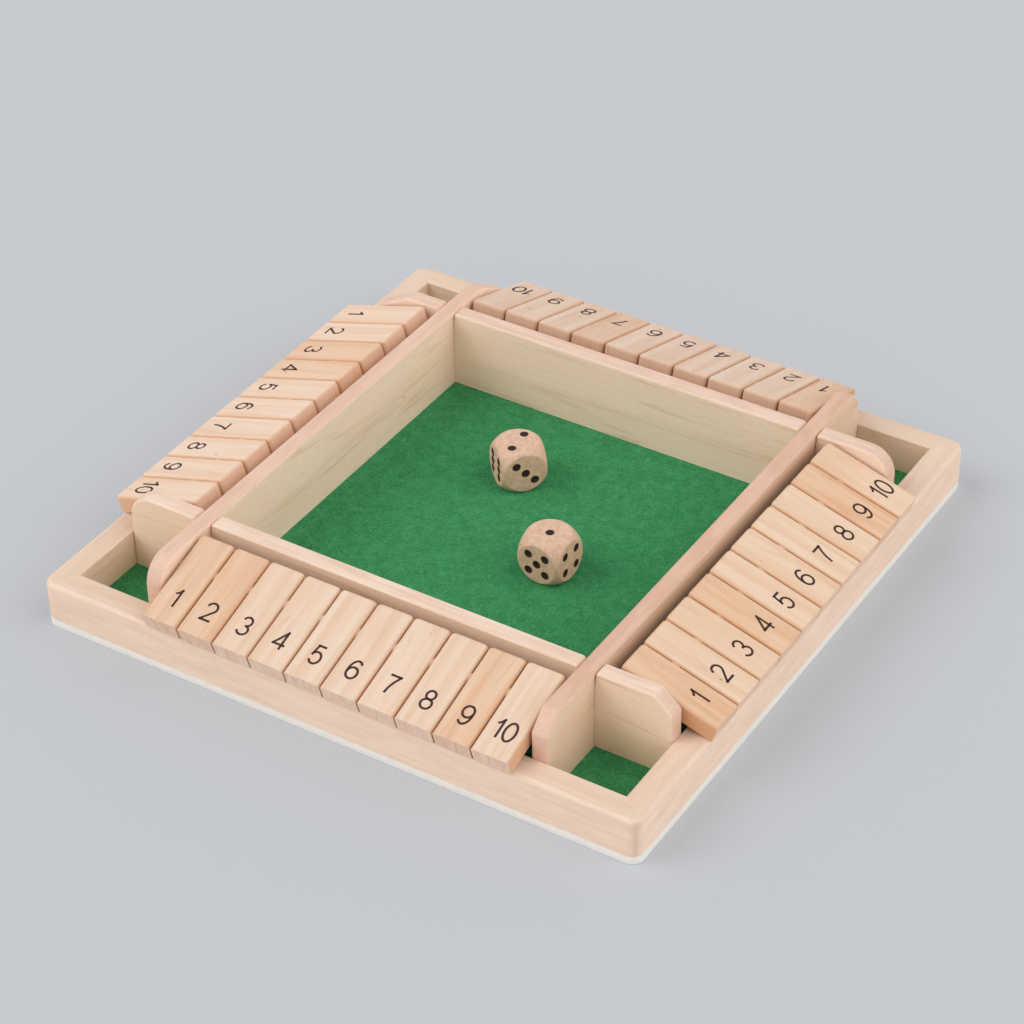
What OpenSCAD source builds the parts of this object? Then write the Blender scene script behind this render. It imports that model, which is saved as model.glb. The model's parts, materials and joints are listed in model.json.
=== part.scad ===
// Four-player shut the box game board.
// Ten numbered tiles hang on a wooden rod along each side of a felt-lined dice tray.
// Each tile lies outwards on the rail until it is flipped up and over, and it then
// leans inwards on the board's divider.
// Origin: centre of the underside. +X runs along the front side, +Z is up.

/* [Base] */
// Outer width of the square board
board_w = 220; // [200:1:250]
// Thickness of the plywood base panel
panel_t = 3; // [2:0.5:6]
// Radius of the board's four upright corners
corner_r = 4; // [1:0.5:6]
// Thickness of the felt sheet
felt_t = 1; // [0.5:0.1:2]

/* [Rails] */
// Width of the mitred rails, seen from above
rail_w = 9; // [6:0.5:11]
// Height of the rails above the base panel
rail_h = 14.2; // [10:0.1:17]
// Radius of the rails' outer top edge
rail_round = 1.5; // [0.5:0.1:2.5]

/* [Dividers] */
// Clear width of the trough between a divider and the rail
trough_w = 26.9; // [26:0.1:30]
// Thickness of the divider boards
divider_t = 5.8; // [4:0.1:8]
// Height of the divider boards above the felt
divider_h = 29; // [26:0.5:34]
// Clearance on each side of a cross-lap notch
lap_gap = 0.15; // [0.05:0.05:0.3]
// Radius of the eased corners beside a notch in a top edge
notch_round = 1.4; // [0.5:0.1:2.5]

/* [Ears] */
// Length of the slope on the two ears at the near right corner
slope_run = 6.5; // [4:0.5:13]
// Drop of that slope
slope_drop = 6; // [3:0.5:9]
// Length of the slope on the two ears at the far left corner
far_slope_run = 13; // [6:0.5:15]
// Drop of that slope
far_slope_drop = 7.5; // [4:0.5:9]
// Radius that softens both ends of each slope
slope_round = 2.5; // [1:0.5:5]
// Radius of the four other ears
ear_round = 9; // [5:0.5:12]

/* [Rods] */
// Diameter of the rods that the tiles turn on
rod_d = 3; // [2:0.1:3.6]
// Depth of the blind holes that hold the rod ends
rod_seat = 3.5; // [2:0.5:3.5]
// Height of the dividers' top edges above the rod axes
rod_below_top = 6.5; // [5:0.5:8]
// Radial clearance of a rod in its end holes
seat_gap = 0.03; // [0.01:0.01:0.1]

/* [Tiles] */
// Number of tiles along each side
tiles = 10; // [8:1:11]
// Thickness of a tile
tile_t = 6.4; // [5:0.1:7]
// Length of a tile from its rod to its inner end
heel_l = 12; // [10:0.5:12.5]
// How far a tile's lower outer edge stands out past the rail
overhang = 0.45; // [0:0.05:2]
// Gap between neighbouring tiles
tile_gap = 0.5; // [0.3:0.1:1]
// Gap between the end tiles and the dividers
end_gap = 1.05; // [0.6:0.05:2]
// Radius of a tile's two inner corners, seen from above
tile_corner_r = 1.5; // [0.5:0.1:3]
// Radial clearance of a tile on its rod
bore_gap = 0.06; // [0.02:0.01:0.1]
// Clearance between a tile's swinging inner end and the divider
swing_gap = 3.3; // [2:0.1:4]
// Clearance between a resting tile and the rail
rest_gap = 0.1; // [0.05:0.05:0.3]

/* [Dice] */
// Width of a die across its flat faces
die_w = 16; // [12:0.5:18]
// Diameter of the ball that rounds off a die's edges
die_ball = 21.6; // [18:0.1:24]
// Diameter of a pip
pip_d = 2.8; // [2:0.1:3.4]
// Depth of a pip
pip_depth = 0.4; // [0.2:0.1:0.8]
// Distance of the outer pips from the middle of a face
pip_pitch = 3.2; // [2.5:0.1:3.6]
// Place of the first die in the tray, left to right
die_1_x = -17.8; // [-30:0.1:-14]
// Place of the first die in the tray, front to back
die_1_y = 30; // [14:0.5:40]
// Turn of the first die
die_1_turn = 50; // [0:1:90]
// Place of the second die in the tray, left to right
die_2_x = 17.9; // [14:0.1:30]
// Place of the second die in the tray, front to back
die_2_y = -7.8; // [-30:0.1:0]
// Turn of the second die
die_2_turn = -2; // [-45:1:45]

/* [Hidden] */
$fn = 48;
eps = 0.01;
ARC_STEPS = 6;

half_w = board_w / 2;
felt_z = panel_t;
floor_z = panel_t + felt_t;
rail_top = panel_t + rail_h;
rail_inner = half_w - rail_w;
divider_out = rail_inner - trough_w;
divider_in = divider_out - divider_t;
tray_w = 2 * divider_in;
divider_top = floor_z + divider_h;
lap_z = floor_z + divider_h / 2;

rod_z = divider_top - rod_below_top;
swing_r = sqrt(heel_l * heel_l + tile_t * tile_t / 4);
rod_y = divider_out + swing_gap + swing_r;

tile_w = (tray_w - 2 * end_gap - (tiles - 1) * tile_gap) / tiles;
tile_pitch = tile_w + tile_gap;

// A resting tile's underside is a tangent to the rail's rounded edge.
edge_y = half_w - rail_round;
edge_z = rail_top - rail_round;
reach = edge_y - rod_y;
rise = rod_z - edge_z;
standoff = rail_round + rest_gap + tile_t / 2;
tile_tilt = acos(standoff / sqrt(reach * reach + rise * rise)) - atan2(reach, rise);
toe_l = (half_w + overhang - rod_y + tile_t / 2 * sin(tile_tilt)) / cos(tile_tilt);

// The ball that hollows a pip to its width and depth
pip_ball_r = (pip_d * pip_d / 4 + pip_depth * pip_depth) / (2 * pip_depth);

PALE = [0.93, 0.92, 0.88];
FELT = [0.16, 0.48, 0.28];
RAIL = [0.90, 0.80, 0.71];
BOARD = [0.87, 0.77, 0.66];
TILE = [0.91, 0.79, 0.64];
ROD = [0.85, 0.74, 0.58];
DIE = [0.82, 0.68, 0.54];

SIDES = ["front", "right", "back", "left"];
STRUCTURE = ["base_panel", "felt",
             "rail_front", "rail_right", "rail_back", "rail_left",
             "divider_front", "divider_right", "divider_back", "divider_left",
             "rod_front", "rod_right", "rod_back", "rod_left"];
TILE_NODES = [for (side = SIDES) for (i = [1:tiles]) str("tile_", side, "_", i)];

// Points that round a corner with a tangent arc, from the point before it to the one after
function unit(v) = v / norm(v);
function round_corner(before, corner, after, r) =
    let (u = unit(before - corner), v = unit(after - corner),
         half = acos(u * v) / 2,
         centre = corner + unit(u + v) * r / sin(half),
         start = corner + u * r / tan(half),
         finish = corner + v * r / tan(half),
         a0 = atan2(start.y - centre.y, start.x - centre.x),
         sweep = atan2(finish.y - centre.y, finish.x - centre.x) - a0,
         turn = sweep > 180 ? sweep - 360 : sweep < -180 ? sweep + 360 : sweep)
    [for (i = [0:ARC_STEPS]) centre + r * [cos(a0 + turn * i / ARC_STEPS), sin(a0 + turn * i / ARC_STEPS)]];

// A square plate with four rounded upright corners
module rounded_plate(w, r, h) {
    linear_extrude(h) {
        square([w - 2 * r, w], center = true);
        square([w, w - 2 * r], center = true);
        for (x = [-1, 1], y = [-1, 1])
            translate([x * (w / 2 - r), y * (w / 2 - r)]) circle(r);
    }
}

module base_panel() {
    color(PALE) rounded_plate(board_w, corner_r, panel_t);
}

module felt() {
    color(FELT) translate([-rail_inner, -rail_inner, felt_z])
        cube([2 * rail_inner, 2 * rail_inner, felt_t]);
}

// Cross-section of a rail, with its outer face on the left
module rail_section() {
    translate([rail_round, 0]) square([rail_w - rail_round, rail_h]);
    square([rail_w, rail_h - rail_round]);
    translate([rail_round, rail_h - rail_round]) circle(rail_round);
}

// One side's rail, cut at 45 degrees at both ends
module rail(side) {
    color(RAIL) rotate([0, 0, 90 * side]) intersection() {
        translate([-half_w, -half_w, panel_t]) rotate([90, 0, 90])
            linear_extrude(board_w) rail_section();
        translate([0, 0, panel_t]) linear_extrude(rail_h)
            polygon([[-half_w, -half_w], [half_w, -half_w],
                     [rail_inner, -rail_inner], [-rail_inner, -rail_inner]]);
        translate([0, 0, panel_t]) rounded_plate(board_w, corner_r, rail_h);
    }
}

// End of a divider's top edge, where it comes down to meet the rail.
// A slope is its run and its drop, and an ear without one is round.
NEAR_SLOPE = [slope_run, slope_drop];
FAR_SLOPE = [far_slope_run, far_slope_drop];
ROUND = [];
function slope_points(slope) =
    let (crest = [rail_inner - slope[0], divider_top], toe = [rail_inner, divider_top - slope[1]])
    concat(
        round_corner([0, divider_top], crest, toe, slope_round),
        round_corner(crest, toe, [rail_inner, floor_z], slope_round));
function ear_points(sign, slope) =
    let (points = len(slope) == 2 ? slope_points(slope)
        : round_corner([0, divider_top], [rail_inner, divider_top], [rail_inner, floor_z], ear_round))
    [for (p = points) [sign * p.x, p.y]];

// Eased notch that opens upwards and takes the other board's upper half
function notch_points(sign) =
    let (a = divider_in - lap_gap, b = divider_out + lap_gap,
         points = concat(
             round_corner([0, divider_top], [a, divider_top], [a, lap_z], notch_round),
             [[a, lap_z], [b, lap_z]],
             round_corner([b, lap_z], [b, divider_top], [rail_inner, divider_top], notch_round)))
    [for (p = points) [sign * p.x, p.y]];

function reversed(list) = [for (i = [len(list) - 1:-1:0]) list[i]];

// Side view of a board whose notches open upwards; its right end slopes
module lower_board_outline(slope) {
    polygon(concat(
        [[-rail_inner, floor_z], [rail_inner, floor_z]],
        reversed(ear_points(1, slope)), reversed(notch_points(1)),
        notch_points(-1), ear_points(-1, ROUND)));
}

// Side view of a board whose notches open downwards; its left end slopes
module upper_board_outline(slope) {
    difference() {
        polygon(concat(
            [[-rail_inner, floor_z], [rail_inner, floor_z]],
            reversed(ear_points(1, ROUND)), ear_points(-1, slope)));
        for (sign = [-1, 1])
            translate([sign * (divider_in + divider_out) / 2, lap_z - divider_h / 4 - eps / 2])
                square([divider_t + 2 * lap_gap, divider_h / 2 + eps], center = true);
    }
}

// One divider, which stands on the felt inside the rail of its side.
// Its blind holes take the ends of the rods on the two neighbouring sides.
module divider(side) {
    slope = side < 2 ? NEAR_SLOPE : FAR_SLOPE;
    color(BOARD) rotate([0, 0, 90 * side]) difference() {
        translate([0, -divider_in, 0]) rotate([90, 0, 0]) linear_extrude(divider_t)
            if (side % 2 == 0) lower_board_outline(slope);
            else upper_board_outline(slope);
        for (x = [-rod_y, rod_y])
            translate([x, -divider_in - rod_seat, rod_z]) rotate([-90, 0, 0])
                cylinder(d = rod_d + 2 * seat_gap, h = rod_seat + eps);
    }
}

// The rod that one side's tiles turn on
module rod(side) {
    color(ROD) rotate([0, 0, 90 * side]) translate([0, -rod_y, rod_z]) rotate([0, 90, 0])
        cylinder(d = rod_d, h = tray_w + 2 * rod_seat, center = true);
}

// A tile lying flat, with the rod's axis along X and its inner end towards +Y
module tile_blank() {
    difference() {
        translate([0, 0, -tile_t / 2]) linear_extrude(tile_t) {
            translate([-tile_w / 2, -toe_l]) square([tile_w, toe_l + heel_l - tile_corner_r]);
            translate([tile_corner_r - tile_w / 2, 0]) square([tile_w - 2 * tile_corner_r, heel_l]);
            for (sign = [-1, 1])
                translate([sign * (tile_w / 2 - tile_corner_r), heel_l - tile_corner_r])
                    circle(tile_corner_r);
        }
        rotate([0, 90, 0]) cylinder(d = rod_d + 2 * bore_gap, h = tile_w + 2, center = true);
    }
}

// Tile i of one side, counted from its player's left
module tile(side, i) {
    color(TILE) rotate([0, 0, 90 * side])
        translate([(i - (tiles + 1) / 2) * tile_pitch, -rod_y, rod_z])
            rotate([tile_tilt, 0, 0]) tile_blank();
}

// Places of the pips for each count, in units of the pip pitch
PIPS = [
    [],
    [[0, 0]],
    [[-1, -1], [1, 1]],
    [[-1, 1], [0, 0], [1, -1]],
    [[-1, -1], [-1, 1], [1, -1], [1, 1]],
    [[-1, -1], [-1, 1], [0, 0], [1, -1], [1, 1]],
    [[-1, -1], [0, -1], [1, -1], [-1, 1], [0, 1], [1, 1]]];

// The hollows on a die's upper face
module pips(count) {
    for (p = PIPS[count])
        translate([p.x * pip_pitch, p.y * pip_pitch, die_w / 2 - pip_depth + pip_ball_r])
            sphere(pip_ball_r);
}

// A die on the tray's felt: the counts on its top, front and right faces; opposites make seven
module die(x, y, turn, top, front, right) {
    color(DIE) translate([x, y, floor_z + die_w / 2]) rotate([0, 0, turn]) difference() {
        intersection() {
            cube(die_w, center = true);
            sphere(d = die_ball);
        }
        pips(top);
        rotate([180, 0, 0]) pips(7 - top);
        rotate([90, 0, 0]) pips(front);
        rotate([-90, 0, 0]) pips(7 - front);
        rotate([0, 90, 0]) pips(right);
        rotate([0, -90, 0]) pips(7 - right);
    }
}

base_panel();
felt();
for (side = [0:3]) {
    rail(side);
    divider(side);
    rod(side);
    for (i = [1:tiles])
        tile(side, i);
}
die(die_1_x, die_1_y, die_1_turn, 2, 3, 1);  // die_1
die(die_2_x, die_2_y, die_2_turn, 1, 5, 4);  // die_2
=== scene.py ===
"""Dresses a four-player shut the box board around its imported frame.

The frame holds every piece at its real place and size.  Each class below reads the sizes that it
needs from the frame, models one group of pieces with eased edges, grain and ink, and rides every
piece on its own body, so that each tile still flips on its rod and each die still lifts.

Meshes are drafted in millimetres, with the grain of the wood along Y, and are then placed in metres.
"""
from __future__ import annotations

import json
import logging
import math
import random
from dataclasses import dataclass, field, replace
from enum import Enum
from typing import Callable, Iterable, Sequence

import bmesh
import bpy
import numpy as np
from mathutils import Matrix, Vector

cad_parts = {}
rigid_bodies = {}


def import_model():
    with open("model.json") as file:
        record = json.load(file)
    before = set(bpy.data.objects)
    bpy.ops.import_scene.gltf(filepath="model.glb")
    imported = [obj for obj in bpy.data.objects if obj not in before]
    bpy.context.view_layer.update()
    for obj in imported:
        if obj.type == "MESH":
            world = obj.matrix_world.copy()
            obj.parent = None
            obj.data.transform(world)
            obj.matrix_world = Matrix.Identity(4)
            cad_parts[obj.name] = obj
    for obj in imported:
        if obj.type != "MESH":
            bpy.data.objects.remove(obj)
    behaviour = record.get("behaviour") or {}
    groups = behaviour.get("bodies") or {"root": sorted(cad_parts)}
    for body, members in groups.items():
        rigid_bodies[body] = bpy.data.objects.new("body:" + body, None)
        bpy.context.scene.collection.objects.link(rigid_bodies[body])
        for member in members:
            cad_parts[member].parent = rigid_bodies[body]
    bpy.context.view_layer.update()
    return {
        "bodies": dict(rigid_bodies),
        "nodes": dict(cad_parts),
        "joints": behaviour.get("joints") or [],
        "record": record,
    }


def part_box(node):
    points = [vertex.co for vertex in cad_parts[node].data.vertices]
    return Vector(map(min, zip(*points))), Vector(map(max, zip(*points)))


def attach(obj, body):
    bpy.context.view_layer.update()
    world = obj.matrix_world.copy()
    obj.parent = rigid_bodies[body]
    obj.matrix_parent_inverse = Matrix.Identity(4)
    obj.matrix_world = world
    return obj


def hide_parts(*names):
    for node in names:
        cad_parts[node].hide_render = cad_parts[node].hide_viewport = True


LOG = logging.getLogger("shut_the_box")
MM = 0.001
SEED = 27
SIDES = ("front", "right", "back", "left")
UP = Vector((0.0, 0.0, 1.0))

Point2 = tuple[float, float]
Colour = tuple[float, float, float]


def rgb(red: int, green: int, blue: int) -> Colour:
    """Returns an 8-bit display colour as linear light."""
    def linear(value: int) -> float:
        """Returns one channel as linear light."""
        share = value / 255
        return share / 12.92 if share <= 0.04045 else ((share + 0.055) / 1.055) ** 2.4
    return linear(red), linear(green), linear(blue)


class Graph:
    """Adds nodes to one tree and links them."""

    def __init__(self, tree: bpy.types.NodeTree) -> None:
        """Keeps the tree that the nodes go into."""
        self.tree = tree

    def add(self, kind: str, inputs: dict | None = None, **settings: object) -> bpy.types.Node:
        """Adds one node.

        Args:
            kind: The node's type name.
            inputs: Values or sockets by input name or number.
            settings: The node's own properties.

        Returns:
            The new node.
        """
        node = self.tree.nodes.new(kind)
        for name, value in settings.items():
            setattr(node, name, value)
        for key, value in (inputs or {}).items():
            self.put(node.inputs[key], value)
        return node

    def put(self, socket: bpy.types.NodeSocket, value: object) -> None:
        """Links a socket to another, or sets its value."""
        if isinstance(value, bpy.types.NodeSocket):
            self.tree.links.new(value, socket)
        elif isinstance(value, tuple) and len(value) == 3 and socket.type == "RGBA":
            socket.default_value = (*value, 1.0)
        else:
            socket.default_value = value

    def maths(self, operation: str, *values: object) -> bpy.types.NodeSocket:
        """Returns the result of one Math node."""
        return self.add("ShaderNodeMath", dict(enumerate(values)), operation=operation).outputs[0]

    def vector(self, operation: str, *values: object) -> bpy.types.NodeSocket:
        """Returns the vector result of one Vector Math node."""
        return self.add("ShaderNodeVectorMath", dict(enumerate(values)), operation=operation).outputs[0]

    def mix(self, share: object, first: object, second: object, blend: str = "MIX") -> bpy.types.NodeSocket:
        """Returns the blend of two colours."""
        node = self.add("ShaderNodeMix", {0: share, 6: first, 7: second}, data_type="RGBA", blend_type=blend)
        return node.outputs[2]

    def ramp(self, value: object, low: float, high: float, start: float = 0.0, end: float = 1.0,
             curve: str = "SMOOTHSTEP") -> bpy.types.NodeSocket:
        """Returns a value moved smoothly from start, at low, to end, at high."""
        places = {0: value, 1: low, 2: high, 3: start, 4: end}
        return self.add("ShaderNodeMapRange", places, interpolation_type=curve, clamp=True).outputs[0]

    def noise(self, place: object, scale: float, detail: float = 2.0, rough: float = 0.5) -> bpy.types.NodeSocket:
        """Returns the factor of a noise texture."""
        places = {"Vector": place, "Scale": scale, "Detail": detail, "Roughness": rough}
        return self.add("ShaderNodeTexNoise", places, noise_dimensions="3D").outputs["Fac"]


def new_group(name: str, inputs: Sequence[tuple[str, str, object]], outputs: Sequence[tuple[str, str]]
              ) -> tuple[bpy.types.NodeTree, Graph, bpy.types.Node, bpy.types.Node]:
    """Makes an empty shader group with named sockets.

    Args:
        name: The group's name.
        inputs: Name, socket type and default value of each input.
        outputs: Name and socket type of each output.

    Returns:
        The group, its graph, and its input and output nodes.
    """
    tree = bpy.data.node_groups.new(name, "ShaderNodeTree")
    for label, kind, value in inputs:
        socket = tree.interface.new_socket(label, in_out="INPUT", socket_type=kind)
        socket.default_value = value
    for label, kind in outputs:
        tree.interface.new_socket(label, in_out="OUTPUT", socket_type=kind)
    graph = Graph(tree)
    return tree, graph, graph.add("NodeGroupInput"), graph.add("NodeGroupOutput")


class ShaderEffects:
    """The effects that more than one material uses, as node groups."""

    def __init__(self) -> None:
        """Builds each group once."""
        self.figure = self._figure()
        self.mottle = self._mottle()

    def _figure(self) -> bpy.types.NodeTree:
        """Builds the growth rings, soft streaks and fine fibres of sawn wood, with its grain along Y."""
        tree, graph, given, result = new_group(
            "wood_figure",
            [("Place", "NodeSocketVector", (0, 0, 0)), ("Pith", "NodeSocketVector", (0, 0, 0)),
             ("Ring Width", "NodeSocketFloat", 6.0), ("Streak Width", "NodeSocketFloat", 3.0),
             ("Fibre Width", "NodeSocketFloat", 0.4), ("Line Spacing", "NodeSocketFloat", 3.0)],
            [("Rings", "NodeSocketFloat"), ("Streaks", "NodeSocketFloat"), ("Fibres", "NodeSocketFloat"),
             ("Tone", "NodeSocketFloat"), ("Lines", "NodeSocketFloat"), ("End Lines", "NodeSocketFloat"),
             ("Pin Knots", "NodeSocketFloat")])
        place = given.outputs["Place"]
        drawn_out = graph.vector("MULTIPLY", place, (1.0, 0.12, 1.0))
        wander = graph.maths("MULTIPLY_ADD", graph.noise(drawn_out, 0.06, 1.0), 14.0, -7.0)
        shiver = graph.maths("MULTIPLY_ADD", graph.noise(drawn_out, 0.7, 2.0), 0.9, -0.45)
        from_pith = graph.vector("SUBTRACT", place, given.outputs["Pith"])
        flat = graph.vector("MULTIPLY", from_pith, (1.0, 0.035, 1.0))
        radius = graph.add("ShaderNodeVectorMath", {0: flat}, operation="LENGTH").outputs["Value"]
        radius = graph.maths("ADD", graph.maths("ADD", radius, wander), shiver)
        turn = graph.maths("FRACT", graph.maths("DIVIDE", radius, given.outputs["Ring Width"]))
        late = graph.ramp(turn, 0.3, 0.9)
        close = graph.ramp(turn, 0.9, 1.0, 1.0, 0.0)
        graph.put(result.inputs["Rings"], graph.maths("MULTIPLY", late, close))

        def strands(width: object, stretch: float, detail: float) -> bpy.types.NodeSocket:
            """Returns noise of one width across the grain, drawn out along it."""
            scale = graph.maths("DIVIDE", 1.0, width)
            along = graph.maths("DIVIDE", scale, stretch)
            factors = graph.add("ShaderNodeCombineXYZ", {0: scale, 1: along, 2: scale}).outputs[0]
            return graph.noise(graph.vector("MULTIPLY", place, factors), 1.0, detail)

        streak = strands(given.outputs["Streak Width"], 14.0, 1.5)
        graph.put(result.inputs["Streaks"], graph.ramp(streak, 0.42, 0.7))
        fibre = strands(given.outputs["Fibre Width"], 11.0, 3.0)
        graph.put(result.inputs["Fibres"], graph.ramp(fibre, 0.3, 0.75))
        swell = graph.noise(graph.vector("MULTIPLY", place, (0.06, 0.0045, 0.06)), 1.0, 1.5, 0.4)
        count = graph.maths("DIVIDE", 33.0, given.outputs["Line Spacing"])
        phase = graph.maths("FRACT", graph.maths("MULTIPLY", swell, count))
        line = graph.maths("MULTIPLY", graph.ramp(phase, 0.78, 0.95), graph.ramp(phase, 0.95, 0.99, 1.0, 0.0))
        fade = graph.ramp(strands(1.8, 16.0, 2.5), 0.36, 0.66)
        graph.put(result.inputs["Lines"], graph.maths("MULTIPLY", line, fade))
        pores = graph.noise(graph.vector("MULTIPLY", place, (1.6, 0.02, 0.16)), 1.0, 2.0, 0.6)
        graph.put(result.inputs["End Lines"], graph.ramp(pores, 0.4, 0.66))
        cells = graph.add("ShaderNodeTexVoronoi",
                          {"Vector": graph.vector("MULTIPLY", place, (0.05, 0.03, 1.0)), "Scale": 1.0,
                           "Randomness": 1.0}, voronoi_dimensions="2D")
        size = graph.ramp(graph.add("ShaderNodeSeparateXYZ", {0: cells.outputs["Color"]}).outputs["X"],
                          0.45, 1.0, 0.0, 0.024, "LINEAR")
        away = graph.maths("DIVIDE", cells.outputs["Distance"], graph.maths("ADD", size, 0.0005))
        graph.put(result.inputs["Pin Knots"], graph.ramp(away, 0.5, 1.0, 1.0, 0.0))
        broad = strands(16.0, 5.0, 0.0)
        graph.put(result.inputs["Tone"], graph.ramp(broad, 0.32, 0.68))
        return tree

    def _mottle(self) -> bpy.types.NodeTree:
        """Builds soft two-scale blotches, for pressed felt, paint and the bloom of sanded wood."""
        tree, graph, given, result = new_group(
            "mottle",
            [("Place", "NodeSocketVector", (0, 0, 0)), ("Blotch", "NodeSocketFloat", 5.0),
             ("Speck", "NodeSocketFloat", 0.5)],
            [("Blotches", "NodeSocketFloat"), ("Specks", "NodeSocketFloat")])
        for label, socket, low, high in (("Blotches", "Blotch", 0.35, 0.65), ("Specks", "Speck", 0.3, 0.7)):
            scale = graph.maths("DIVIDE", 1.0, given.outputs[socket])
            field_of = graph.add("ShaderNodeTexNoise",
                                 {"Vector": given.outputs["Place"], "Scale": scale, "Detail": 3.0})
            graph.put(result.inputs[label], graph.ramp(field_of.outputs["Fac"], low, high))
        return tree


def start_material(name: str) -> tuple[bpy.types.Material, Graph, bpy.types.Node]:
    """Makes a material that holds one Principled shader.

    Args:
        name: The material's name.

    Returns:
        The material, its graph and the shader node.
    """
    material = bpy.data.materials.new(name)
    material.use_nodes = True
    graph = Graph(material.node_tree)
    return material, graph, material.node_tree.nodes["Principled BSDF"]


class GrainSource(Enum):
    """Where a wood material reads the place of a point on its board."""

    BOARD = "the piece's own board attribute, in millimetres"
    ROW_X = "object coordinates, with the grain along X"
    ROW_Y = "object coordinates, with the grain along Y"


@dataclass(frozen=True)
class WoodFinish:
    """Sanded wood with rings, streaks and fibres, and its own end grain."""

    name: str
    pale: Colour
    streak: Colour
    ring: Colour
    flank: Colour
    end_grain: Colour
    streak_share: float = 0.6
    ring_share: float = 0.25
    fibre_share: float = 0.12
    tone_share: float = 0.25
    line_share: float = 0.3
    line_spacing: float = 3.0
    flank_share: float = 0.8
    ring_width: float = 7.0
    streak_width: float = 2.6
    fibre_width: float = 0.35
    pith: tuple[float, float, float] = (9.0, 0.0, 40.0)
    flank_from: float = 0.05
    flank_streaks: float = 0.35
    bruise: Colour = (0.6, 0.35, 0.25)
    bruise_share: float = 0.0
    roughness: float = 0.58
    relief: float = 0.05
    knot: Colour = rgb(132, 92, 64)
    # Painted bounce light: a lighter colour for the outer ends, which face out and down towards the floor.
    outer_end: Colour | None = None
    # Painted light and shade: a factor on the whole colour, for how the light falls on one row of tiles.
    tint: Colour | None = None
    # Painted shade: a factor on a board's faces, for how the light falls on its side of the tray.
    face_tint: Colour | None = None
    source: GrainSource = GrainSource.BOARD

    def _place(self, graph: Graph) -> bpy.types.NodeSocket:
        """Returns the place on the board, in millimetres, with the grain along Y."""
        if self.source is GrainSource.BOARD:
            return graph.add("ShaderNodeAttribute", attribute_name="board").outputs["Vector"]
        spot = graph.add("ShaderNodeTexCoord").outputs["Object"]
        turned = math.pi / 2 if self.source is GrainSource.ROW_X else 0.0
        scale = (1 / MM, 1 / MM, 1 / MM)
        return graph.add("ShaderNodeMapping", {"Vector": spot, "Rotation": (0, 0, turned), "Scale": scale}).outputs[0]

    def make(self, effects: ShaderEffects) -> bpy.types.Material:
        """Returns the finish as a material."""
        material, graph, shader = start_material(self.name)
        place = self._place(graph)
        wood = graph.add("ShaderNodeGroup", node_tree=effects.figure)
        for label, value in (("Place", place), ("Pith", self.pith), ("Ring Width", self.ring_width),
                             ("Streak Width", self.streak_width), ("Fibre Width", self.fibre_width),
                             ("Line Spacing", self.line_spacing)):
            graph.put(wood.inputs[label], value)

        def share(mask: str, amount: float) -> bpy.types.NodeSocket:
            """Returns one of the group's masks at a given strength."""
            return graph.maths("MULTIPLY", wood.outputs[mask], amount)

        colour = graph.mix(share("Tone", self.tone_share), self.pale, self.streak)
        colour = graph.mix(share("Streaks", self.streak_share), colour, self.streak)
        colour = graph.mix(share("Rings", self.ring_share), colour, self.ring)
        colour = graph.mix(share("Fibres", self.fibre_share), colour, self.ring)
        colour = graph.mix(share("Lines", self.line_share), colour, self.ring)
        if self.source is GrainSource.BOARD:
            cut = graph.add("ShaderNodeAttribute", attribute_name="cut").outputs["Vector"]
            facing = graph.add("ShaderNodeSeparateXYZ", {0: cut})
            knots = graph.maths("MULTIPLY", share("Pin Knots", 0.8), graph.ramp(facing.outputs["Z"], 0.7, 0.95))
            colour = graph.mix(knots, colour, self.knot)
            # Painted shade on the faces of one board.
            if self.face_tint:
                colour = graph.mix(1.0, colour, self.face_tint, "MULTIPLY")
            # Faces turned towards X take the flank colour. On the tiles this is partly the side grain's own orange-tan
            # and partly painted shade on the rounded long edges, in the gaps between tiles.
            turned = graph.ramp(facing.outputs["X"], self.flank_from, 1.0)
            flank_colour = graph.mix(share("Streaks", self.flank_streaks), self.flank, self.ring)
            if self.bruise_share:
                cloud = graph.add("ShaderNodeGroup", node_tree=effects.mottle)
                drawn_out = graph.vector("MULTIPLY", place, (1.0, 0.22, 1.0))
                for label, value in (("Place", drawn_out), ("Blotch", 3.5), ("Speck", 1.0)):
                    graph.put(cloud.inputs[label], value)
                spots = graph.maths("MULTIPLY", cloud.outputs["Blotches"], self.bruise_share)
                flank_colour = graph.mix(spots, flank_colour, self.bruise)
            # On the rails the lighter flank colour is painted light on their upright faces.
            colour = graph.mix(graph.maths("MULTIPLY", turned, self.flank_share), colour, flank_colour)
            ends = graph.ramp(graph.maths("ABSOLUTE", facing.outputs["Y"]), 0.25, 0.95)
            # The outer ends take a lighter colour than the end grain: painted bounce light from the floor.
            outer = graph.ramp(facing.outputs["Y"], -0.2, 0.2, 1.0, 0.0)
            end_grain_and_bounce_light = graph.mix(outer, self.end_grain, self.outer_end or self.end_grain)
            end_colour = graph.mix(share("End Lines", 0.45), end_grain_and_bounce_light, self.ring)
            colour = graph.mix(ends, colour, end_colour)
        # Painted light and shade on one row of tiles, as a factor on the colour.
        if self.tint:
            colour = graph.mix(1.0, colour, self.tint, "MULTIPLY")
        graph.put(shader.inputs["Base Color"], colour)
        rough = graph.ramp(wood.outputs["Fibres"], 0.0, 1.0, self.roughness - 0.06, self.roughness + 0.08, "LINEAR")
        graph.put(shader.inputs["Roughness"], rough)
        shader.inputs["Specular IOR Level"].default_value = 0.3
        height = graph.maths("ADD", share("Fibres", 0.7), share("Rings", 0.3))
        bump = graph.add("ShaderNodeBump", {"Strength": 0.5, "Distance": self.relief * MM, "Height": height})
        graph.put(shader.inputs["Normal"], bump.outputs["Normal"])
        return material


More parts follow.
